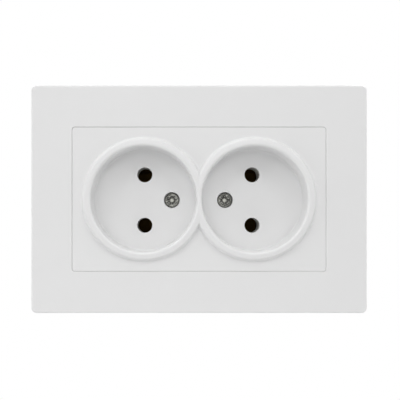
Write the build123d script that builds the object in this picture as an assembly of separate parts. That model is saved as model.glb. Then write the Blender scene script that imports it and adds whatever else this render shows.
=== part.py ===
from build123d import *
import math
import os

# Everything is drawn lying face up, x to the right, y up the wall and z out of the wall,
# with the wall plane at z = 0. The last function turns each piece to hang on a wall.

# Plug pins and the holes that take them
PIN_PITCH = 19.0
PIN_LENGTH = 19.0
PIN_HOLE_D = 5.7
PIN_TIP_GAP = 1.5

# Round wells of the cover and the raised rims round them
WELL_D = 38.6
WEB_T = 1.8
WELL_DEPTH = 9.5
WELL_DRAFT = 1.2
WELL_WALL = 1.6
WELL_FLOOR_T = 1.6
WELL_FLOOR_R = 0.6
LIP_FLAT = 0.05
CROWN_FLAT = 0.25
CROWN_W = 1.5
CROWN_FALL = 0.22
CROWN_R = 4.0
SHOULDER_R = 0.9
FOOT_R = 0.6
FLANK_ANGLE = 66.0
RIM_RISE = 1.9

# Flat panel of the cover
PANEL_W = 92.65
PANEL_H = 52.6
PANEL_T = 2.0
PANEL_CORNER_R = 1.0
PANEL_EDGE_R = 0.25
PANEL_SINK = 0.1
PANEL_SLIT = 0.06

# Outer frame: a hollow ring plate
FRAME_W = 122.5
FRAME_H = 83.1
FRAME_SKIN = 2.0
FRAME_EDGE_R = 0.6
FRAME_CORNER_EXTRA = 1.3
FRAME_LIP_R = 0.25
LEDGE_W = 2.4
LEDGE_T = 1.8
RIB_T = 1.2
RIB_STANDOFF = 5.0
RIB_PITCH = 60.0

# Machine screws
SCREW_D = 3.0
SCREW_TIP = 0.4
HEAD_D = 5.5
HEAD_H = 1.8
HEAD_R = 0.7
RECESS_W = 0.9
RECESS_L = 3.2
RECESS_DEPTH = 1.1
THREAD_GAP = 0.05
HOLE_GAP = 0.2

# Screws that hold the cover, and the tubes they sit in
COVER_SCREW_PITCH = 20.0
COVER_SCREW_L = 11.0
COVER_SCREW_SINK = 1.8
TUBE_BORE_D = 6.0
TUBE_WALL = 1.2
TUBE_GAP = 0.3
BUSH_D = 4.8
BUSH_L = 7.0
BUSH_SINK = 0.2

# Mounting strap
STRAP_W = 68.0
STRAP_T = 1.0
STRAP_CORNER_R = 8.0
STRAP_GAP = 0.5
BOX_SCREW_PITCH = 60.0
BOX_SLOT_W = 4.2
BOX_SLOT_L = 7.0
BOX_SLOT_EDGE = 2.5
HEAD_ROOM = 2.3
WINDOW_GAP = 0.35
TONGUE_W = 9.2
TONGUE_REACH = 4.2

# Contact cover with its pin guides
CONTACT_COVER_T = 1.5
PLATEAU_GAP = 0.2
PLATEAU_MARGIN = 0.8
GUIDE_WALL = 1.1
GUIDE_DEPTH = 5.0

# Folded brass busbars
BAR_T = 0.8
BAR_W = 5.0
BEND_R = 0.5
WAIST_GAP = 4.2
FOOT_GAP = 5.2
MOUTH_FLARE = 0.9
MOUTH_LENGTH = 3.2
MOUTH_GAP_TO_GUIDE = 0.6
TAB_W = 11.0
TAB_L = 7.9
COLLAR_WALL = 0.9
COLLAR_L = 1.8

# Terminal clamps
CLAMP_W = 12.0
CLAMP_L = 7.0
CLAMP_T = 1.2
CLAMP_GAP = 0.1
CLAMP_SLACK = 0.4
WIRE_X = 3.7
WIRE_HOLE_D = 3.2
WIRE_GROOVE_R = 1.2
WIRE_GROOVE_DEPTH = 0.4
TERMINAL_SCREW_L = 8.0

# Base block
BASE_WALL = 1.5
REAR_WALL = 1.5
FLANGE_T = 5.0
TOWER_WALL = 1.8
BAR_SLACK = 0.4
GRIP_SLACK = 0.3
SCREW_END_ROOM = 0.4

# Rivets that hold strap, contact cover and base together
RIVET_D = 3.0
RIVET_HEAD_D = 4.8
RIVET_HEAD_H = 0.9
RIVET_PITCH = 28.0
RIVET_EDGE = 2.6
RIVET_HEAD_GAP = 0.4
RIVET_GAP = 0.05

# Spreading claws
CLAW_TRAVEL = 12.0
CLAW_SPREAD = 4.5
CLAW_T = 1.2
CLAW_W = 7.0
CLAW_INSET = 3.9
CLAW_SLACK = 0.4
CLAW_GAP = 0.2
CLAW_SLOT_GAP = 0.3
CLAW_TOP_GAP = 2.2
CLAW_REACH = 3.4
TOOTH_DEPTH = 0.9
RAMP_GAP = 0.4
CLAW_SCREW_L = 27.0
CLAW_SCREW_END = 1.0
NUT_L = 6.0
NUT_T = 2.4
NUT_GAP = 0.05

# Heights above the wall that follow from the sizes
FLOOR_BACK_Z = STRAP_T + HEAD_ROOM
FLOOR_FRONT_Z = FLOOR_BACK_Z + WELL_FLOOR_T
CROWN_Z = FLOOR_FRONT_Z + WELL_DEPTH
PANEL_FRONT_Z = CROWN_Z - RIM_RISE
PANEL_BACK_Z = PANEL_FRONT_Z - PANEL_T
FRAME_FACE_Z = PANEL_FRONT_Z + PANEL_SINK
SCREW_SEAT_Z = FLOOR_FRONT_Z - COVER_SCREW_SINK - HEAD_H
BASE_FRONT_Z = -CONTACT_COVER_T
FLANGE_BACK_Z = BASE_FRONT_Z - FLANGE_T
BAR_TOP_Z = FLOOR_FRONT_Z - PIN_LENGTH - PIN_TIP_GAP
BAR_BACK_Z = BAR_TOP_Z - BAR_T
TAB_END_Z = BAR_BACK_Z - TAB_L
TERMINAL_Z = BAR_BACK_Z - TAB_L / 2
CHAMBER_END_Z = TAB_END_Z - CLAMP_SLACK
BASE_BACK_Z = CHAMBER_END_Z - REAR_WALL
MOUTH_Z = -GUIDE_DEPTH - MOUTH_GAP_TO_GUIDE

# Widths and places that follow from the sizes
WELL_PITCH = WELL_D + WEB_T
LIP_R = WEB_T / 2 - LIP_FLAT
SOCKET_X = WELL_PITCH / 2
POLE_Y = PIN_PITCH / 2
COVER_SCREW_X = COVER_SCREW_PITCH / 2
STRAP_H = BOX_SCREW_PITCH + BOX_SLOT_L + 2 * BOX_SLOT_EDGE
TUBE_D = TUBE_BORE_D + 2 * TUBE_WALL
GUIDE_D = PIN_HOLE_D + 2 * GUIDE_WALL
MOUTH_GAP = PIN_HOLE_D + MOUTH_FLARE
POCKET_W = GUIDE_D + 2 * GRIP_SLACK
POCKET_H = MOUTH_GAP + 2 * BAR_T + 2 * GRIP_SLACK
GRIP_W = POCKET_W - 4 * GRIP_SLACK
BODY_R = math.hypot(SOCKET_X + POCKET_W / 2, POLE_Y + POCKET_H / 2) + BASE_WALL
BODY_H = PIN_PITCH + POCKET_H + 2 * BASE_WALL
RIVET_X = RIVET_PITCH / 2
RIVET_Y = BODY_H / 2 + RIVET_HEAD_D / 2 + RIVET_HEAD_GAP
FLANGE_H = 2 * (RIVET_Y + RIVET_EDGE)
TAB_FACE_Y = POLE_Y + BAR_W / 2
CHAMBER_W = CLAMP_W + 2 * CLAMP_SLACK
TOWER_W = CHAMBER_W + 2 * TOWER_WALL
PLATEAU_W = WELL_PITCH + GUIDE_D + 2 * PLATEAU_MARGIN
PLATEAU_H = PIN_PITCH + GUIDE_D + 2 * PLATEAU_MARGIN
CLAW_X = BODY_R - CLAW_INSET
TONGUE_X = CLAW_X - TONGUE_REACH
CHANNEL_W = CLAW_W + 2 * CLAW_SLACK
RAMP_SLOPE = CLAW_SPREAD / CLAW_TRAVEL
RAMP_TOP_X = CLAW_X - SCREW_D / 2 - RAMP_GAP
NUT_BACK_Z = STRAP_T - CLAW_SCREW_L + CLAW_SCREW_END
CLAW_FOOT_Z = NUT_BACK_Z + NUT_T + NUT_GAP
CLAW_TOP_Z = -CLAW_TRAVEL - CLAW_TOP_GAP
CLAW_SLOT_W = SCREW_D + 2 * CLAW_SLOT_GAP
CLEAR_D = SCREW_D + 2 * HOLE_GAP
TAPPED_D = SCREW_D + 2 * THREAD_GAP

SIDES = (-1, 1)
SOCKETS = [Pos(side * SOCKET_X, 0, 0) for side in SIDES]
PINS = [Pos(side * SOCKET_X, pole * POLE_Y, 0) for side in SIDES for pole in SIDES]
COVER_SCREWS = [Pos(side * COVER_SCREW_X, 0, 0) for side in SIDES]
RIVETS = [Pos(side * RIVET_X, pole * RIVET_Y, 0) for side in SIDES for pole in SIDES]


def slab(outline, low, high):
    """A flat outline made thick between two heights."""
    return extrude(Pos(0, 0, low) * outline, amount=high - low)


def rod(diameter, low, high):
    """A round bar along the depth axis between two heights."""
    return slab(Circle(diameter / 2), low, high)


def block(x_low, x_high, y_low, y_high, low, high):
    """A square-edged block from its six limits."""
    outline = Pos((x_low + x_high) / 2, (y_low + y_high) / 2) * Rectangle(x_high - x_low, y_high - y_low)
    return slab(outline, low, high)


def each(places, shape):
    """The same shape at every place."""
    return [place * shape for place in places]


def turned(profile):
    """A profile drawn as radius against height, turned about the depth axis."""
    return revolve(Plane.XZ * profile, axis=Axis.Z)


def rounded_at(face, point, radius):
    """Round the corner of a flat face that lies at a point."""
    return fillet(face.vertices().sort_by_distance((*point, 0))[0], radius)


def mirrored_pair(shape, plane):
    """A shape and its mirror image: the image first, then the shape."""
    return mirror(shape, plane), shape


def rim_body():
    """Outside of one well: drafted wall, then foot, flank, shoulder and sloping crown of the rim."""
    crown_r = WELL_D / 2 + LIP_R + CROWN_FLAT
    shoulder_r = crown_r + CROWN_W
    shoulder_z = CROWN_Z - CROWN_FALL
    foot_r = shoulder_r + (shoulder_z - PANEL_FRONT_Z) / math.tan(math.radians(FLANK_ANGLE))
    edge_r = foot_r + 2 * FOOT_R * math.tan(math.radians(FLANK_ANGLE) / 2)
    wall_top_r = WELL_D / 2 + WELL_WALL
    wall_low_r = wall_top_r - WELL_DEPTH * math.tan(math.radians(WELL_DRAFT))
    mid_panel = PANEL_FRONT_Z - PANEL_T / 2
    profile = make_face(
        Polyline(
            (0, FLOOR_BACK_Z),
            (wall_low_r, FLOOR_BACK_Z),
            (wall_top_r, mid_panel),
            (edge_r, mid_panel),
            (edge_r, PANEL_FRONT_Z),
            (foot_r, PANEL_FRONT_Z),
            (shoulder_r, shoulder_z),
            (crown_r, CROWN_Z),
            (0, CROWN_Z),
            close=True,
        )
    )
    profile = rounded_at(profile, (crown_r, CROWN_Z), CROWN_R)
    profile = rounded_at(profile, (shoulder_r, shoulder_z), SHOULDER_R)
    profile = rounded_at(profile, (foot_r, PANEL_FRONT_Z), FOOT_R)
    return turned(profile)


def well_cavity():
    """Space inside one well: drafted bore with a rounded floor corner."""
    mouth_r = WELL_D / 2
    floor_r = mouth_r - WELL_DEPTH * math.tan(math.radians(WELL_DRAFT))
    above_z = CROWN_Z + RIM_RISE
    profile = make_face(
        Polyline(
            (0, FLOOR_FRONT_Z),
            (floor_r, FLOOR_FRONT_Z),
            (mouth_r, CROWN_Z),
            (mouth_r, above_z),
            (0, above_z),
            close=True,
        )
    )
    return turned(rounded_at(profile, (floor_r, FLOOR_FRONT_Z), WELL_FLOOR_R))


def double_cover():
    """One moulding: panel, two wells whose rims merge, pin holes and two screw tubes."""
    panel = slab(RectangleRounded(PANEL_W, PANEL_H, PANEL_CORNER_R), PANEL_BACK_Z, PANEL_FRONT_Z)
    panel = fillet(panel.faces().sort_by(Axis.Z)[-1].edges(), PANEL_EDGE_R)
    cover = panel + each(SOCKETS, rim_body()) - each(SOCKETS, well_cavity())
    lips = cover.edges().group_by(Axis.Z)[-1].sort_by(SortBy.RADIUS)[: len(SOCKETS)]
    cover = fillet(lips, LIP_R)
    cover += each(COVER_SCREWS, rod(TUBE_D, BASE_FRONT_Z, FLOOR_BACK_Z))
    cover -= each(COVER_SCREWS, rod(TUBE_BORE_D, SCREW_SEAT_Z, FLOOR_FRONT_Z))
    cover -= each(COVER_SCREWS, rod(CLEAR_D, BASE_FRONT_Z, SCREW_SEAT_Z))
    return cover - each(PINS, rod(PIN_HOLE_D, FLOOR_BACK_Z, FLOOR_FRONT_Z))


def outer_frame():
    """Hollow ring plate that clears the strap, with a sunk ledge round its opening for the panel."""
    corner_r = FRAME_EDGE_R + FRAME_CORNER_EXTRA
    frame = slab(RectangleRounded(FRAME_W, FRAME_H, corner_r), 0, FRAME_FACE_Z)
    frame = fillet(frame.faces().sort_by(Axis.Z)[-1].edges(), FRAME_EDGE_R)
    inside_w = FRAME_W - 2 * FRAME_SKIN
    inside_h = FRAME_H - 2 * FRAME_SKIN
    frame -= slab(Rectangle(inside_w, inside_h), 0, FRAME_FACE_Z - FRAME_SKIN)
    frame -= slab(Rectangle(STRAP_W + 2 * STRAP_GAP, STRAP_H + 2 * STRAP_GAP), 0, STRAP_T + STRAP_GAP)
    opening_w = PANEL_W + 2 * PANEL_SLIT
    opening_h = PANEL_H + 2 * PANEL_SLIT
    collar_w = opening_w + 2 * FRAME_SKIN
    collar_h = opening_h + 2 * FRAME_SKIN
    ledge_z = PANEL_BACK_Z - LEDGE_T
    for x in (-RIB_PITCH / 2, RIB_PITCH / 2):
        frame += block(x - RIB_T / 2, x + RIB_T / 2, -inside_h / 2, inside_h / 2, RIB_STANDOFF, PANEL_BACK_Z)
    frame += block(-inside_w / 2, inside_w / 2, -RIB_T / 2, RIB_T / 2, RIB_STANDOFF, PANEL_BACK_Z)
    frame += slab(Rectangle(collar_w, collar_h), ledge_z, PANEL_BACK_Z)
    frame -= slab(Rectangle(opening_w - 2 * LEDGE_W, opening_h - 2 * LEDGE_W), 0, FRAME_FACE_Z)
    opening = RectangleRounded(opening_w, opening_h, PANEL_CORNER_R + PANEL_SLIT)
    frame -= slab(opening, PANEL_BACK_Z, FRAME_FACE_Z)
    mouth = frame.faces().sort_by(Axis.Z)[-1].inner_wires()
    return fillet(mouth.edges(), FRAME_LIP_R)


def cross_recess():
    """Cross-shaped driver recess, sunk from the top of a screw head."""
    cross = Rectangle(RECESS_L, RECESS_W) + Rectangle(RECESS_W, RECESS_L)
    return slab(cross, HEAD_H - RECESS_DEPTH, HEAD_H)


def machine_screw(length):
    """Pan-head screw whose head sits on z = 0, with the shank below it."""
    head = rod(HEAD_D, 0, HEAD_H)
    head = fillet(head.faces().sort_by(Axis.Z)[-1].edges(), HEAD_R)
    shank = rod(SCREW_D, -length, 0)
    shank = chamfer(shank.faces().sort_by(Axis.Z)[0].edges(), SCREW_TIP)
    return head + shank - cross_recess()


def screw_bush():
    """Tapped brass bush set in the front of the base."""
    top = BASE_FRONT_Z - BUSH_SINK
    return rod(BUSH_D, top - BUSH_L, top) - rod(TAPPED_D, top - BUSH_L, top)


def strap_window(grow):
    """Outline of the hole in the strap, with a tongue left at each end, grown by a gap."""
    outline = Rectangle(PLATEAU_W + 2 * grow, PLATEAU_H + 2 * grow)
    notch_w = TONGUE_W + 2 * WINDOW_GAP - 2 * grow
    notch_x = TONGUE_X - WINDOW_GAP + grow
    for side in SIDES:
        outline -= Pos(side * (notch_x + STRAP_W / 2), 0) * Rectangle(STRAP_W, notch_w)
    return outline


def mounting_strap():
    """Stamped steel plate with box-screw slots, claw-screw holes and the contact window."""
    outline = RectangleRounded(STRAP_W, STRAP_H, STRAP_CORNER_R) - strap_window(WINDOW_GAP)
    outline -= each(RIVETS, Circle(RIVET_D / 2 + RIVET_GAP))
    slot = SlotOverall(BOX_SLOT_L, BOX_SLOT_W, rotation=90)
    for side in SIDES:
        outline -= Pos(0, side * BOX_SCREW_PITCH / 2) * slot
        outline -= Pos(side * CLAW_X, 0) * Circle(CLEAR_D / 2)
    return slab(outline, 0, STRAP_T)


def flange_outline():
    """Round outline of the base and contact cover, flat above and below."""
    return Circle(BODY_R) & Rectangle(2 * BODY_R, FLANGE_H)


def contact_cover():
    """Insulating plate over the contacts, with a tubular guide for each pin."""
    cover = slab(flange_outline(), BASE_FRONT_Z, 0)
    cover += slab(strap_window(0), 0, FLOOR_BACK_Z - PLATEAU_GAP)
    cover += each(PINS, rod(GUIDE_D, -GUIDE_DEPTH, BASE_FRONT_Z))
    cover -= each(PINS, rod(PIN_HOLE_D, -GUIDE_DEPTH, FLOOR_BACK_Z))
    cover -= each(COVER_SCREWS, rod(TUBE_D + 2 * TUBE_GAP, BASE_FRONT_Z, FLOOR_BACK_Z))
    cover -= each(RIVETS, rod(RIVET_D + 2 * RIVET_GAP, BASE_FRONT_Z, 0))
    for side in SIDES:
        notch_x = side * (TONGUE_X + BODY_R / 2)
        cover -= slab(Pos(notch_x, 0) * Rectangle(BODY_R, CHANNEL_W), BASE_FRONT_Z, 0)
    return cover


def folded(points):
    """Sheet profile: a bent line made one sheet thickness wide."""
    line = FilletPolyline(*points, radius=BEND_R)
    return make_face(offset(line, BAR_T, side=Side.LEFT, closed=True).edges())


def upper_busbar():
    """Folded brass bar: two pin grips joined by a strip, and a tapped terminal tab."""
    mouth, waist, foot = MOUTH_GAP / 2, WAIST_GAP / 2, FOOT_GAP / 2
    waist_z = MOUTH_Z - MOUTH_LENGTH
    grip = folded(
        [
            (mouth, MOUTH_Z),
            (waist, waist_z),
            (foot, BAR_TOP_Z),
            (-foot, BAR_TOP_Z),
            (-waist, waist_z),
            (-mouth, MOUTH_Z),
        ]
    )
    half_w = BAR_W / 2
    angle = folded([(half_w, TAB_END_Z), (half_w, BAR_TOP_Z), (-half_w, BAR_TOP_Z)])
    along = Plane((0, POLE_Y, 0), x_dir=(0, 1, 0), z_dir=(1, 0, 0))
    bar = extrude(along * angle, amount=TAB_W / 2, both=True)
    for side in SIDES:
        bar += Pos(side * SOCKET_X, 0, 0) * extrude(along * grip, amount=GRIP_W / 2, both=True)
    bar += block(-SOCKET_X, SOCKET_X, POLE_Y - half_w, POLE_Y + half_w - BAR_T, BAR_BACK_Z, BAR_TOP_Z)
    collar_end = TAB_FACE_Y - BAR_T - COLLAR_L
    stand = Pos(0, collar_end, TERMINAL_Z) * Rot(X=-90)
    bar += stand * rod(TAPPED_D + 2 * COLLAR_WALL, 0, COLLAR_L)
    return bar - stand * rod(TAPPED_D, 0, COLLAR_L + BAR_T)


def upper_clamp_plate():
    """Clamp plate under the terminal screw's head, grooved for a wire on each side."""
    low = TAB_FACE_Y + CLAMP_GAP
    z_low = TERMINAL_Z - CLAMP_L / 2
    z_high = TERMINAL_Z + CLAMP_L / 2
    plate = block(-CLAMP_W / 2, CLAMP_W / 2, low, low + CLAMP_T, z_low, z_high)
    for side in SIDES:
        groove_y = low + WIRE_GROOVE_DEPTH - WIRE_GROOVE_R
        plate -= Pos(side * WIRE_X, groove_y, 0) * rod(2 * WIRE_GROOVE_R, z_low, z_high)
    return plate - Pos(0, low, TERMINAL_Z) * Rot(X=-90) * rod(CLEAR_D, 0, CLAMP_T)


def upper_terminal_screw():
    """Terminal screw, its head on the clamp plate and its shank through the tapped tab."""
    seat_y = TAB_FACE_Y + CLAMP_GAP + CLAMP_T
    return Pos(0, seat_y, TERMINAL_Z) * Rot(X=-90) * machine_screw(TERMINAL_SCREW_L)


def ramp_x(z):
    """How far out the claw ramp lies at a height."""
    return RAMP_TOP_X + (z - BASE_FRONT_Z) * RAMP_SLOPE


def side_profile(points, width):
    """A profile drawn as x against height, made wide equally up and down the wall."""
    return extrude(Plane.XZ * make_face(Polyline(*points, close=True)), amount=width / 2, both=True)


def claw_channel():
    """Space cut in the right of the base for a claw, with a slanted floor as its ramp."""
    far = CLAW_X + BODY_R
    points = [
        (ramp_x(BASE_BACK_Z), BASE_BACK_Z),
        (ramp_x(BASE_FRONT_Z), BASE_FRONT_Z),
        (far, BASE_FRONT_Z),
        (far, BASE_BACK_Z),
    ]
    return side_profile(points, CHANNEL_W)


def right_claw():
    """Bent steel claw: a leg that lies on the ramp and a slotted, toothed foot."""
    slant_t = CLAW_T * math.hypot(1, RAMP_SLOPE)
    foot_top = CLAW_FOOT_Z + CLAW_T
    low_x = ramp_x(CLAW_FOOT_Z) + CLAW_GAP
    top_x = ramp_x(CLAW_TOP_Z) + CLAW_GAP
    leg = side_profile(
        [
            (low_x, CLAW_FOOT_Z),
            (low_x + slant_t, CLAW_FOOT_Z),
            (top_x + slant_t, CLAW_TOP_Z),
            (top_x, CLAW_TOP_Z),
        ],
        CLAW_W,
    )
    tip_x = CLAW_X + CLAW_REACH
    root_x = tip_x - TOOTH_DEPTH
    edge = CLAW_W / 2
    heel_x = ramp_x(foot_top) + CLAW_GAP
    outline = Polyline(
        (heel_x, -edge),
        (root_x, -edge),
        (tip_x, -edge / 2),
        (root_x, 0),
        (tip_x, edge / 2),
        (root_x, edge),
        (heel_x, edge),
        close=True,
    )
    claw = leg + slab(make_face(outline), CLAW_FOOT_Z, foot_top)
    slot_x = CLAW_X - CLAW_SPREAD / 2
    slot = Pos(slot_x, 0) * SlotCenterToCenter(CLAW_SPREAD, CLAW_SLOT_W)
    claw -= slab(slot, CLAW_FOOT_Z, foot_top)
    fork_x = CLAW_X - CLAW_SPREAD - CLAW_SLOT_W / 2
    half_slot = CLAW_SLOT_W / 2
    return claw - block(fork_x, tip_x, -half_slot, half_slot, foot_top, CLAW_TOP_Z)


def right_claw_nut():
    """Rectangular nut on the claw screw, kept from turning by the channel's walls."""
    nut = Rectangle(NUT_L, CLAW_W) - Circle(TAPPED_D / 2)
    return slab(Pos(CLAW_X, 0) * nut, NUT_BACK_Z, NUT_BACK_Z + NUT_T)


def right_claw_screw():
    """Long screw with its head on the strap, turned to draw the claw forward."""
    return Pos(CLAW_X, 0, STRAP_T) * machine_screw(CLAW_SCREW_L)


def rivet():
    """Rivet from the strap's front to the back of the base flange."""
    body = rod(RIVET_D, FLANGE_BACK_Z, STRAP_T)
    body += rod(RIVET_HEAD_D, STRAP_T, STRAP_T + RIVET_HEAD_H)
    return body + rod(RIVET_HEAD_D, FLANGE_BACK_Z - RIVET_HEAD_H, FLANGE_BACK_Z)


def terminal_space(pole):
    """Space cut in the base for one terminal, open above or below for the driver."""
    outside = FLANGE_H
    inner_y = TAB_FACE_Y - BAR_T - CLAMP_SLACK
    screw_end = TAB_FACE_Y + CLAMP_GAP + CLAMP_T - TERMINAL_SCREW_L - SCREW_END_ROOM
    collar_half = TAPPED_D / 2 + COLLAR_WALL + CLAMP_SLACK
    space = block(-CHAMBER_W / 2, CHAMBER_W / 2, inner_y, outside, CHAMBER_END_Z, BAR_BACK_Z)
    space += block(-collar_half, collar_half, screw_end, inner_y, TERMINAL_Z - collar_half, BAR_BACK_Z)
    for side in SIDES:
        wire_y = TAB_FACE_Y + WIRE_HOLE_D / 2
        space += Pos(side * WIRE_X, wire_y, 0) * rod(WIRE_HOLE_D, BASE_BACK_Z, CHAMBER_END_Z)
    return space if pole > 0 else mirror(space, Plane.XZ)


def base():
    """Moulded block that holds the contacts, terminals, bushes and claws."""
    disc = Circle(BODY_R)
    body = slab(flange_outline(), FLANGE_BACK_Z, BASE_FRONT_Z)
    body += slab(disc & Rectangle(2 * BODY_R, BODY_H), BASE_BACK_Z, FLANGE_BACK_Z)
    body += slab(disc & Rectangle(TOWER_W, FLANGE_H), BASE_BACK_Z, FLANGE_BACK_Z)
    body -= each(PINS, slab(Rectangle(POCKET_W, POCKET_H), BAR_BACK_Z, BASE_FRONT_Z))
    trench_half = BAR_W / 2 + BAR_SLACK
    for pole in SIDES:
        y = pole * POLE_Y
        body -= block(-SOCKET_X, SOCKET_X, y - trench_half, y + trench_half, BAR_BACK_Z, BASE_FRONT_Z)
        body -= terminal_space(pole)
    bush_end = BASE_FRONT_Z - BUSH_SINK - BUSH_L
    screw_end = SCREW_SEAT_Z - COVER_SCREW_L - SCREW_END_ROOM
    body -= each(COVER_SCREWS, rod(BUSH_D, bush_end, BASE_FRONT_Z))
    body -= each(COVER_SCREWS, rod(CLEAR_D, screw_end, bush_end))
    body -= each(RIVETS, rod(RIVET_D + 2 * RIVET_GAP, FLANGE_BACK_Z, BASE_FRONT_Z))
    return body - list(mirrored_pair(claw_channel(), Plane.YZ))


def pieces():
    """Every piece by name, in the order it is put together."""
    parts = {"base": base()}
    for name, shape, plane, sides in (
        ("busbar", upper_busbar(), Plane.XZ, ("lower", "upper")),
        ("clamp_plate", upper_clamp_plate(), Plane.XZ, ("lower", "upper")),
        ("terminal_screw", upper_terminal_screw(), Plane.XZ, ("lower", "upper")),
        ("screw_bush", Pos(COVER_SCREW_X, 0, 0) * screw_bush(), Plane.YZ, ("left", "right")),
        ("claw", right_claw(), Plane.YZ, ("left", "right")),
        ("claw_nut", right_claw_nut(), Plane.YZ, ("left", "right")),
        ("claw_screw", right_claw_screw(), Plane.YZ, ("left", "right")),
    ):
        for side, image in zip(sides, mirrored_pair(shape, plane)):
            parts[f"{side}_{name}"] = image
    parts["contact_cover"] = contact_cover()
    parts["mounting_strap"] = mounting_strap()
    parts["strap_rivets"] = Compound(each(RIVETS, rivet()))
    parts["outer_frame"] = outer_frame()
    parts["double_cover"] = double_cover()
    for side, place in zip(("left", "right"), COVER_SCREWS):
        parts[f"{side}_cover_screw"] = place * Pos(0, 0, SCREW_SEAT_Z) * machine_screw(COVER_SCREW_L)
    return parts


os.makedirs("parts", exist_ok=True)
for name, shape in pieces().items():
    export_step(Rot(X=90) * shape, f"parts/{name}.step")
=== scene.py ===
import math

import bmesh
import bpy
import numpy as np
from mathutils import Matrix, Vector


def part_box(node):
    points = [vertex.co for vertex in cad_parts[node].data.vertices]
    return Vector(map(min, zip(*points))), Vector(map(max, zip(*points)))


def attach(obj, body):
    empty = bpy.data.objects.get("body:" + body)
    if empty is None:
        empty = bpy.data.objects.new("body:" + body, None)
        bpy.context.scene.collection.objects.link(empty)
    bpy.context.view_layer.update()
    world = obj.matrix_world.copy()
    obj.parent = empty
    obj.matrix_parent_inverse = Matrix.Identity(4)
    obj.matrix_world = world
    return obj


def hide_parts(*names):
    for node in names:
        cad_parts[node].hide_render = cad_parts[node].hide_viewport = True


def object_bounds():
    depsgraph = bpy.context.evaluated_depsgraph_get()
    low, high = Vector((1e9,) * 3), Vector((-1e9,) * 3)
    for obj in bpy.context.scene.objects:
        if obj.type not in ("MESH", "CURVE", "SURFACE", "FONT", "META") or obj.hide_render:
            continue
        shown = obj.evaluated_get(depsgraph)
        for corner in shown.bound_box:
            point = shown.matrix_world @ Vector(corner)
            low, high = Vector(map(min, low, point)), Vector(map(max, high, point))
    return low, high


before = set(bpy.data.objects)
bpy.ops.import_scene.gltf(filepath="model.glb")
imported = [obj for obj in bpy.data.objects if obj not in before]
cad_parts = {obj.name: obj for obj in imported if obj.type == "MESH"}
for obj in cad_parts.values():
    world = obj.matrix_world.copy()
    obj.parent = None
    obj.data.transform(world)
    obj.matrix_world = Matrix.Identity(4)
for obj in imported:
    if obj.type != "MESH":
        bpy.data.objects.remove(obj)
cad_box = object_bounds()

# Base: the block that holds contacts, terminals and claws behind the wall line. It is black
# glass-filled polyamide, injection moulded in a spark-eroded mould, so it is dull and finely
# grained, with a slightly greyer skin where the glass comes to the surface.
MM = 0.001
BASE_FLOW = 9 * MM
# The mould's own grain is too fine to show, so it is drawn coarser.
BASE_GRAIN = 0.35 * MM
# A colour mix has its share, its two colours and its result under these numbers.
MIX_SHARE, MIX_FIRST, MIX_SECOND, MIX_RESULT = 0, 6, 7, 2


def linear(hex_colour):
    """An sRGB hex colour as linear red, green, blue and full alpha."""
    srgb = np.array([int(hex_colour[i : i + 2], 16) for i in (1, 3, 5)]) / 255
    low, high = srgb / 12.92, ((srgb + 0.055) / 1.055) ** 2.4
    return (*np.where(srgb <= 0.04045, low, high).tolist(), 1.0)


def add(owner, kind, inputs=(), **settings):
    """Add one shader node: its settings, then its sockets, as values or as other nodes' outputs."""
    node = owner.node_tree.nodes.new(kind)
    for key, value in settings.items():
        setattr(node, key, value)
    for key, value in dict(inputs).items():
        if isinstance(value, bpy.types.NodeSocket):
            owner.node_tree.links.new(value, node.inputs[key])
        else:
            node.inputs[key].default_value = value
    return node


def new_material(name, sockets):
    """A material with its shader, the values of its sockets, and the place on the piece."""
    material = bpy.data.materials.new(name)
    material.use_nodes = True
    material.node_tree.nodes.clear()
    shader = add(material, "ShaderNodeBsdfPrincipled", sockets)
    add(material, "ShaderNodeOutputMaterial", {"Surface": shader.outputs["BSDF"]})
    place = add(material, "ShaderNodeTexCoord").outputs["Object"]
    return material, shader, place


def give_finish(material, shader, colour, roughness, relief):
    """Drive a shader by patterns that run from 0 to 1: colour is a pattern and two colours,
    roughness a pattern and two values, and relief a pattern, its height and its strength."""
    share, first, second = colour
    ends = {MIX_SHARE: share, MIX_FIRST: first, MIX_SECOND: second}
    tone = add(material, "ShaderNodeMix", ends, data_type="RGBA")
    pattern, smoothest, dullest = roughness
    dull = add(material, "ShaderNodeMapRange", {"Value": pattern, "To Min": smoothest, "To Max": dullest})
    pattern, height, strength = relief
    bump = add(material, "ShaderNodeBump", {"Height": pattern, "Distance": height, "Strength": strength})
    for socket, source in (
        ("Base Color", tone.outputs[MIX_RESULT]),
        ("Roughness", dull.outputs["Result"]),
        ("Normal", bump.outputs["Normal"]),
    ):
        material.node_tree.links.new(source, shader.inputs[socket])


def dress(material, *names):
    """Give carried-over pieces a material in place of their plain one."""
    for name in names:
        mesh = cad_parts[name].data
        mesh.materials.clear()
        mesh.materials.append(material)


polyamide, shader, place = new_material("black_polyamide_moulded", {"IOR": 1.53})
flow = add(polyamide, "ShaderNodeTexNoise", {"Vector": place, "Scale": 1 / BASE_FLOW, "Detail": 5.0})
grain = add(polyamide, "ShaderNodeTexNoise", {"Vector": place, "Scale": 1 / BASE_GRAIN, "Detail": 2.0})
give_finish(
    polyamide,
    shader,
    colour=(flow.outputs["Fac"], linear("#17181A"), linear("#26282B")),
    roughness=(grain.outputs["Fac"], 0.45, 0.68),
    relief=(grain.outputs["Fac"], 0.03 * MM, 0.6),
)
dress(polyamide, "base")

# Busbars and screw bushes: one folded bar of half-hard brass strip for each pole, laid in the
# base, and two bushes turned from brass rod. The strip is pickled after folding, which leaves it
# dull, with fine streaks from rolling and brown tarnish in patches.
BRASS_PATCH = 4 * MM
# Rolling leaves finer streaks than these, which are drawn coarser to show.
BRASS_STREAK = 0.25 * MM
BRASS_STREAK_RUN = 6 * MM

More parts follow.
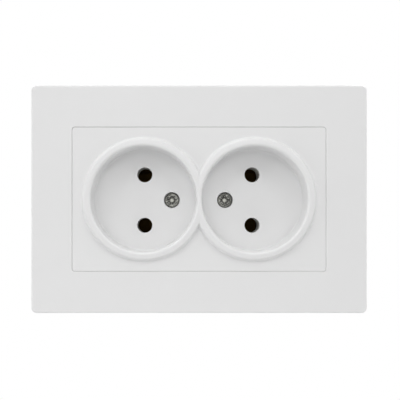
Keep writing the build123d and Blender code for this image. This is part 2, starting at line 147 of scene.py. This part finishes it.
brass, shader, place = new_material("pickled_rolled_brass", {"Metallic": 1.0})
patch = add(brass, "ShaderNodeTexNoise", {"Vector": place, "Scale": 1 / BRASS_PATCH, "Detail": 4.0})
stretch = add(
    brass,
    "ShaderNodeMapping",
    {"Vector": place, "Scale": (1 / BRASS_STREAK_RUN, 1 / BRASS_STREAK, 1 / BRASS_STREAK)},
)
streak = add(brass, "ShaderNodeTexNoise", {"Vector": stretch.outputs["Vector"], "Scale": 1.0, "Detail": 3.0})
give_finish(
    brass,
    shader,
    colour=(patch.outputs["Fac"], linear("#4C3A1C"), linear("#866A38")),
    roughness=(streak.outputs["Fac"], 0.6, 0.8),
    relief=(streak.outputs["Fac"], 0.01 * MM, 0.5),
)
dress(brass, "upper_busbar", "lower_busbar", "left_screw_bush", "right_screw_bush")

# Clamp plates, claws and claw nuts: stamped and bent from steel sheet, barrel-plated with zinc
# and passivated. The plating is a soft grey with a bluish cast, cloudy from the tumbling.
ZINC_CLOUD = 1.8 * MM
# The scuffs of the tumbling are finer than this, and are drawn coarser to show.
ZINC_SCUFF = 0.18 * MM

barrel_zinc, shader, place = new_material("barrel_zinc_plated_steel", {"Metallic": 1.0})
cloud = add(barrel_zinc, "ShaderNodeTexNoise", {"Vector": place, "Scale": 1 / ZINC_CLOUD, "Detail": 5.0})
scuff = add(barrel_zinc, "ShaderNodeTexNoise", {"Vector": place, "Scale": 1 / ZINC_SCUFF, "Detail": 2.0})
give_finish(
    barrel_zinc,
    shader,
    colour=(cloud.outputs["Fac"], linear("#8F959C"), linear("#C3C8CC")),
    roughness=(cloud.outputs["Fac"], 0.26, 0.48),
    relief=(scuff.outputs["Fac"], 0.015 * MM, 0.5),
)
dress(barrel_zinc, "upper_clamp_plate", "lower_clamp_plate")
dress(barrel_zinc, "left_claw", "right_claw", "left_claw_nut", "right_claw_nut")

# Terminal screws, claw screws and cover screws: cold-headed steel with a punched cross recess and
# a rolled M3 thread, zinc plated and passivated dark. The head is mottled, with a painted highlight
# in its middle and a weaker one along its edge, and a painted shade as a darker ring between.
# Each stands for the plain screw there.
HEAD_HEIGHT = 1.8 * MM
HEAD_EDGE = 0.7 * MM
SHANK_RADIUS = 1.5 * MM
TIP_LENGTH = 0.4 * MM
THREAD_PITCH = 0.5 * MM
THREAD_DEPTH = 0.29 * MM
THREAD_RUNOUT = 0.9 * MM
# Corners of the thread's profile, two on the crest and two in the root: place in a turn and cut.
THREAD_PLACES = np.array([0.0, 0.125, 0.4375, 0.6875])
THREAD_CUTS = np.array([0.0, 0.0, 1.0, 1.0])
RECESS_SPAN = 1.7 * MM
RECESS_WING = 0.36 * MM
RECESS_WALL = 0.16 * MM
WING_DEPTH = 0.8 * MM
WING_RISE = 0.55
PIT_RADIUS = 0.72 * MM
PIT_DEPTH = 1.1 * MM
STEPS_ROUND = 96
STEPS_TOP = 44
STEPS_EDGE = 8
MERGE_DISTANCE = 0.0005 * MM
SHARP_ANGLE = 35
# Painted highlight on the heads: lighter in the middle and, weaker, along the edge.
WORN_RADIUS = 0.5 * MM
WORN_FADE = 0.4 * MM
EDGE_WORN_FROM = 2.0 * MM
EDGE_WEAR = 0.55
# Painted shade on the heads: a darker ring round the recess, between the middle and the edge.
GRIME_RADIUS = 1.15 * MM
GRIME_SPREAD = 0.45 * MM
SCREW_MOTTLE = 0.55 * MM
MOTTLE_DARKEST, MOTTLE_LIGHTEST = 0.43, 0.66
# The plating's own scuffs are finer than this, and are drawn coarser to show.
SCREW_SCUFF = 0.3 * MM

screw_steel, shader, place = new_material("dark_passivated_screw_steel", {"Metallic": 1.0})
mottle = add(screw_steel, "ShaderNodeTexNoise", {"Vector": place, "Scale": 1 / SCREW_MOTTLE, "Detail": 3.0})
spread = add(
    screw_steel,
    "ShaderNodeMapRange",
    {"Value": mottle.outputs["Fac"], "From Min": MOTTLE_DARKEST, "From Max": MOTTLE_LIGHTEST},
)
mottled = add(
    screw_steel,
    "ShaderNodeMix",
    {MIX_SHARE: spread.outputs["Result"], MIX_FIRST: linear("#4E4E4B"), MIX_SECOND: linear("#B2B2AC")},
    data_type="RGBA",
)
# Painted shade: the mottled head is darkened in a ring round the recess.
grimed = add(screw_steel, "ShaderNodeAttribute", attribute_name="grimed").outputs["Fac"]
soiled = add(
    screw_steel,
    "ShaderNodeMix",
    {MIX_SHARE: grimed, MIX_FIRST: mottled.outputs[MIX_RESULT], MIX_SECOND: linear("#4A4A47")},
    data_type="RGBA",
)
# Painted highlight: the head is lightened in its middle and, less, along its edge.
worn = add(screw_steel, "ShaderNodeAttribute", attribute_name="worn").outputs["Fac"]
scuff = add(screw_steel, "ShaderNodeTexNoise", {"Vector": place, "Scale": 1 / SCREW_SCUFF, "Detail": 3.0})
give_finish(
    screw_steel,
    shader,
    colour=(worn, soiled.outputs[MIX_RESULT], linear("#B9B9B2")),
    roughness=(scuff.outputs["Fac"], 0.48, 0.72),
    relief=(scuff.outputs["Fac"], 0.04 * MM, 0.7),
)


def eased(x):
    """A smooth step: 0 below 0, 1 above 1, and 3 x squared minus 2 x cubed between."""
    x = np.clip(x, 0, 1)
    return x * x * (3 - 2 * x)


def recess_depth(x, y):
    """Depth of the cross recess at a point of the head: a round pit with a flat bottom, and two
    crossed wings with steep eased walls, each rising in a straight line from middle to end."""
    depth = PIT_DEPTH * eased((PIT_RADIUS + RECESS_WALL - np.hypot(x, y)) / RECESS_WALL)
    for along, across in ((x, y), (y, x)):
        side = eased((RECESS_WING + RECESS_WALL - np.abs(across)) / RECESS_WALL)
        end = eased((RECESS_SPAN - np.abs(along)) / RECESS_WALL)
        slope = 1 - WING_RISE * np.abs(along) / RECESS_SPAN
        depth = np.maximum(depth, WING_DEPTH * side * end * slope)
    return depth


def head_surface(angle, radius):
    """Head as a turned profile: flat top, rounded edge, side and seat, less the cross recess."""
    flat = np.linspace(0, radius - HEAD_EDGE, STEPS_TOP + 1)
    bend = np.linspace(0, math.pi / 2, STEPS_EDGE + 1)[1:]
    edge = radius - HEAD_EDGE + HEAD_EDGE * np.sin(bend)
    edge_height = HEAD_HEIGHT - HEAD_EDGE + HEAD_EDGE * np.cos(bend)
    ring = np.concatenate([flat, edge, [radius, SHANK_RADIUS]])[:, None]
    height = np.concatenate([np.full(len(flat), HEAD_HEIGHT), edge_height, [0, 0]])[:, None]
    on_top = (np.arange(len(ring)) < len(flat))[:, None]
    x, y = ring * np.cos(angle), ring * np.sin(angle)
    return x, y, height - on_top * recess_depth(x, y)


def thread_surface(angle, length):
    """Threaded shank on a skewed grid: each row follows the helix, so that a row keeps its place
    in the thread's profile (crest, flank, root, flank), and its depth fades out at both ends."""
    turns = np.arange(math.ceil(length / THREAD_PITCH) + 1)
    along = ((turns[:, None] + THREAD_PLACES) * THREAD_PITCH).ravel()[:, None]
    depth = np.tile(THREAD_CUTS, len(turns))[:, None] * THREAD_DEPTH
    down = np.clip(along - THREAD_PITCH * angle / (2 * math.pi), 0, length)
    fade = eased(down / THREAD_RUNOUT) * eased((length - down) / TIP_LENGTH)
    reach = SHANK_RADIUS - depth * fade
    return reach * np.cos(angle), reach * np.sin(angle), -down


def tip_surface(angle, length):
    """Tip as a turned profile: a chamfer, then a flat end closed at the middle."""
    ring = np.array([SHANK_RADIUS, SHANK_RADIUS - TIP_LENGTH, 0.0])[:, None]
    height = -np.array([length - TIP_LENGTH, length, length])[:, None]
    return ring * np.cos(angle), ring * np.sin(angle), height + 0 * angle


def grid_faces(rows, columns, first):
    """Corner numbers of the quads of a grid whose points are counted row by row."""
    i, j = np.meshgrid(np.arange(rows - 1), np.arange(columns - 1), indexing="ij")
    corner = first + i * columns + j
    return np.stack([corner, corner + columns, corner + columns + 1, corner + 1], -1).reshape(-1, 4)


def mesh_piece(name, points, faces):
    """A mesh object from whole arrays, with shared points merged and its sharp edges marked."""
    mesh = bpy.data.meshes.new(name)
    mesh.from_pydata(points.tolist(), [], faces.tolist())
    work = bmesh.new()
    work.from_mesh(mesh)
    bmesh.ops.remove_doubles(work, verts=work.verts, dist=MERGE_DISTANCE)
    bmesh.ops.dissolve_degenerate(work, edges=work.edges, dist=MERGE_DISTANCE)
    bmesh.ops.recalc_face_normals(work, faces=work.faces)
    work.to_mesh(mesh)
    work.free()
    mesh.shade_smooth()
    mesh.set_sharp_from_angle(angle=math.radians(SHARP_ANGLE))
    piece = bpy.data.objects.new(name, mesh)
    bpy.context.scene.collection.objects.link(piece)
    return piece


def mark_wear(piece, seat, outward):
    """Two values at each point of a head, by smooth steps of its distance from the screw's axis:
    the painted highlight in the middle and, less, at the edge, and the painted shade in a ring
    between them."""
    place = np.empty(3 * len(piece.data.vertices), np.float32)
    piece.data.vertices.foreach_get("co", place)
    place = place.reshape(-1, 3) - seat
    height = place @ outward
    off_axis = np.linalg.norm(place - height[:, None] * outward, axis=1)
    middle = 1 - eased((off_axis - WORN_RADIUS) / WORN_FADE)
    edge = EDGE_WEAR * eased((off_axis - EDGE_WORN_FROM) / WORN_FADE)
    ring = 1 - eased(np.abs(off_axis - GRIME_RADIUS) / GRIME_SPREAD)
    for name, amount in (("worn", middle + edge), ("grimed", ring)):
        values = piece.data.attributes.new(name, "FLOAT", "POINT").data
        values.foreach_set("value", ((height > 0) * amount).astype(np.float32))


def screw(node, outward, right):
    """A screw at a plain screw's place: outward is the way its head faces, and right any
    direction across it. The head's width and the length come from the plain screw's box."""
    low, high = (np.array(corner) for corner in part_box(node))
    outward, right = np.array(outward, float), np.array(right, float)
    third = np.cross(outward, right)
    radius = abs((high - low) @ right) / 2
    overall = abs((high - low) @ outward)
    length = overall - HEAD_HEIGHT
    seat = (low + high) / 2 + outward * (overall / 2 - HEAD_HEIGHT)
    angle = np.linspace(0, 2 * math.pi, STEPS_ROUND + 1)
    points, faces, first = [], [], 0
    for x, y, z in (
        head_surface(angle, radius),
        thread_surface(angle, length - TIP_LENGTH),
        tip_surface(angle, length),
    ):
        surface = seat + x[..., None] * right + y[..., None] * third + z[..., None] * outward
        points.append(surface.reshape(-1, 3))
        faces.append(grid_faces(*x.shape, first))
        first += x.size
    piece = mesh_piece(node + "_threaded", np.concatenate(points), np.concatenate(faces))
    # Paint the head's highlight and shade as two values at its points.
    mark_wear(piece, seat, outward)
    piece.data.materials.append(screw_steel)
    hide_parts(node)
    return piece


FRONT, RIGHT, UP, DOWN = (0, -1, 0), (1, 0, 0), (0, 0, 1), (0, 0, -1)
for pole, outward in (("upper", UP), ("lower", DOWN)):
    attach(screw(f"{pole}_terminal_screw", outward, RIGHT), f"{pole}_terminal_screw")
for side in ("left", "right"):
    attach(screw(f"{side}_claw_screw", FRONT, RIGHT), f"{side}_claw_screw")
    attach(screw(f"{side}_cover_screw", FRONT, RIGHT), "housing")

# Contact cover: the insulating plate over the contacts, with a tube behind each pin hole. It is
# off-white urea resin, pressed in a polished mould: hard, faintly mottled and half dull.
UREA_MOTTLE = 1.2 * MM

urea, shader, place = new_material("off_white_urea_moulded", {"IOR": 1.55})
mottle = add(urea, "ShaderNodeTexNoise", {"Vector": place, "Scale": 1 / UREA_MOTTLE, "Detail": 4.0})
give_finish(
    urea,
    shader,
    colour=(mottle.outputs["Fac"], linear("#CFCFCA"), linear("#DCDCD8")),
    roughness=(mottle.outputs["Fac"], 0.36, 0.5),
    relief=(mottle.outputs["Fac"], 0.01 * MM, 0.4),
)
dress(urea, "contact_cover")

# Mounting strap and its rivets: the strap is punched from cold-rolled sheet, galvanised before
# punching, and the rivets are drawn steel. Zinc crystals show as faint flakes in the grey.
STRAP_FLAKE = 3.5 * MM
# Rolling leaves finer lines than these, which are drawn coarser to show.
STRAP_ROLL = 0.2 * MM
STRAP_ROLL_RUN = 12 * MM

galvanised, shader, place = new_material("galvanised_rolled_steel", {"Metallic": 1.0})
flake = add(galvanised, "ShaderNodeTexVoronoi", {"Vector": place, "Scale": 1 / STRAP_FLAKE})
shade = add(galvanised, "ShaderNodeSeparateColor", {"Color": flake.outputs["Color"]})
stretch = add(
    galvanised,
    "ShaderNodeMapping",
    {"Vector": place, "Scale": (1 / STRAP_ROLL, 1 / STRAP_ROLL, 1 / STRAP_ROLL_RUN)},
)
roll = add(
    galvanised,
    "ShaderNodeTexNoise",
    {"Vector": stretch.outputs["Vector"], "Scale": 1.0, "Detail": 2.0},
)
give_finish(
    galvanised,
    shader,
    colour=(shade.outputs["Red"], linear("#989DA2"), linear("#B3B7BA")),
    roughness=(roll.outputs["Fac"], 0.42, 0.58),
    relief=(roll.outputs["Fac"], 0.008 * MM, 0.5),
)
dress(galvanised, "mounting_strap", "strap_rivets")

# Outer frame and double cover: white ABS, injection moulded in a finely blasted mould. The face
# is satin, with soft broad highlights and a slight unevenness, and light that wanders a little
# way inside the plastic softens its edges and grooves. The cover is a touch smoother.
ABS_FLOW = 30 * MM
# The blasted grain is finer than this, and is drawn coarser to show.
ABS_GRAIN = 0.3 * MM
ABS_SCATTER = 0.3 * MM
ABS_SOCKETS = {
    "IOR": 1.53,
    "Subsurface Weight": 1.0,
    "Subsurface Radius": (1.0, 1.0, 1.0),
    "Subsurface Scale": ABS_SCATTER,
}
ABS_ROUGHNESS_SPREAD = 0.12

for name, piece, smoothest in (
    ("white_abs_satin_frame", "outer_frame", 0.36),
    ("white_abs_satin_cover", "double_cover", 0.32),
):
    abs_white, shader, place = new_material(name, ABS_SOCKETS)
    flow = add(abs_white, "ShaderNodeTexNoise", {"Vector": place, "Scale": 1 / ABS_FLOW, "Detail": 3.0})
    grain = add(abs_white, "ShaderNodeTexNoise", {"Vector": place, "Scale": 1 / ABS_GRAIN, "Detail": 2.0})
    give_finish(
        abs_white,
        shader,
        colour=(flow.outputs["Fac"], linear("#E3E3E3"), linear("#E5E5E5")),
        roughness=(grain.outputs["Fac"], smoothest, smoothest + ABS_ROUGHNESS_SPREAD),
        relief=(grain.outputs["Fac"], 0.006 * MM, 0.4),
    )
    dress(abs_white, piece)

# Floor: a plain pale sheet of matt card well below the socket, which hangs as it does on a wall.
# It fades into the white background towards its edge, and is clear from below.
FLOOR_DROP = 115 * MM
FLOOR_RADIUS = 260 * MM
FLOOR_CORE = 120 * MM
FLOOR_SIDES = 64

floor_z = cad_box[0].z - FLOOR_DROP
turn = np.linspace(0, 2 * math.pi, FLOOR_SIDES, endpoint=False)
rim = np.stack([np.cos(turn) * FLOOR_RADIUS, np.sin(turn) * FLOOR_RADIUS, 0 * turn + floor_z], -1)
floor_mesh = bpy.data.meshes.new("pale_floor")
floor_mesh.from_pydata(rim.tolist(), [], [list(range(FLOOR_SIDES))])
floor = bpy.data.objects.new("pale_floor", floor_mesh)
bpy.context.scene.collection.objects.link(floor)

card = bpy.data.materials.new("matt_white_card")
card.use_nodes = True
card.node_tree.nodes.clear()
matt = add(card, "ShaderNodeBsdfDiffuse", {"Color": linear("#F2F2F2")})
clear = add(card, "ShaderNodeBsdfTransparent")
place = add(card, "ShaderNodeTexCoord").outputs["Object"]
flat_place = add(card, "ShaderNodeVectorMath", {0: place, 1: (1, 1, 0)}, operation="MULTIPLY")
distance = add(card, "ShaderNodeVectorMath", {0: flat_place.outputs["Vector"]}, operation="LENGTH")
fade = add(
    card,
    "ShaderNodeMapRange",
    {"Value": distance.outputs["Value"], "From Min": FLOOR_CORE, "From Max": FLOOR_RADIUS},
    interpolation_type="SMOOTHSTEP",
)
below = add(card, "ShaderNodeNewGeometry").outputs["Backfacing"]
hidden = add(card, "ShaderNodeMath", {0: fade.outputs["Result"], 1: below}, operation="MAXIMUM")
sheet = add(
    card,
    "ShaderNodeMixShader",
    {0: hidden.outputs["Value"], 1: matt.outputs["BSDF"], 2: clear.outputs["BSDF"]},
)
add(card, "ShaderNodeOutputMaterial", {"Surface": sheet.outputs["Shader"]})
floor_mesh.materials.append(card)

# Light: an even pale room, white where the camera or a reflection sees it, with three softboxes
# in a row above, three weak cards round the front, cards at both sides and overhead, and two
# softboxes for the back. All are squares of one size that face the socket.
ROOM_LEVEL = 0.33
WHITE_LEVEL = 1.0
LIGHT_DISTANCE = 1000 * MM
LIGHT_SIZE = 350 * MM
# Name, lean from the front and turn round it (0 right, 90 up) in degrees, and power in watts.
LIGHTS = (
    ("upper_right_softbox", 50, 45, 1.3),
    ("upper_softbox", 50, 90, 1.3),
    ("upper_left_softbox", 50, 135, 1.4),
    ("front_top_card", 20, 90, 0.8),
    ("front_left_card", 20, 180, 0.55),
    ("front_low_card", 20, 270, 0.7),
    ("right_card", 75, 0, 1.3),
    ("left_card", 75, 180, 2.0),
    ("top_card", 76, 90, 1.4),
    ("rear_right_softbox", 135, 50, 3.0),
    ("rear_left_softbox", 135, 130, 3.0),
)

world = bpy.data.worlds.new("pale_room")
bpy.context.scene.world = world
world.use_nodes = True
world.node_tree.nodes.clear()
path = add(world, "ShaderNodeLightPath")
seen = path.outputs["Is Camera Ray"]
for ray in ("Is Glossy Ray", "Is Transmission Ray"):
    either = add(world, "ShaderNodeMath", {0: seen, 1: path.outputs[ray]}, operation="MAXIMUM")
    seen = either.outputs["Value"]
level = add(world, "ShaderNodeMapRange", {"Value": seen, "To Min": ROOM_LEVEL, "To Max": WHITE_LEVEL})
room = add(world, "ShaderNodeBackground", {"Color": linear("#FFFFFF"), "Strength": level.outputs["Result"]})
add(world, "ShaderNodeOutputWorld", {"Surface": room.outputs["Background"]})

for name, lean, turn, power in LIGHTS:
    lean, turn = math.radians(lean), math.radians(turn)
    way = Vector((math.sin(lean) * math.cos(turn), -math.cos(lean), math.sin(lean) * math.sin(turn)))
    lamp = bpy.data.lights.new(name, "AREA")
    lamp.shape = "SQUARE"
    lamp.size = LIGHT_SIZE
    lamp.energy = power
    lamp_object = bpy.data.objects.new(name, lamp)
    lamp_object.location = way * LIGHT_DISTANCE
    lamp_object.rotation_euler = way.to_track_quat("Z", "Y").to_euler()
    bpy.context.scene.collection.objects.link(lamp_object)

# Camera: square on to the wall, a little left of the middle and below it, at the distance that
# gives the wells' floors and rims their sizes, with the picture shifted to hold the frame.
CAMERA_PLACE = (-7.8 * MM, -249.5 * MM, -9.0 * MM)
CAMERA_LENS = 58.47
CAMERA_SHIFT = (0.0558, 0.0598)
CAMERA_NEAR = 10 * MM

camera_data = bpy.data.cameras.new("camera")
camera_data.lens = CAMERA_LENS
camera_data.shift_x, camera_data.shift_y = CAMERA_SHIFT
camera_data.clip_start = CAMERA_NEAR
camera = bpy.data.objects.new("camera", camera_data)
camera.location = CAMERA_PLACE
camera.rotation_euler = (math.pi / 2, 0, 0)
bpy.context.scene.collection.objects.link(camera)
bpy.context.scene.camera = camera
bpy.context.scene.view_settings.view_transform = "Standard"
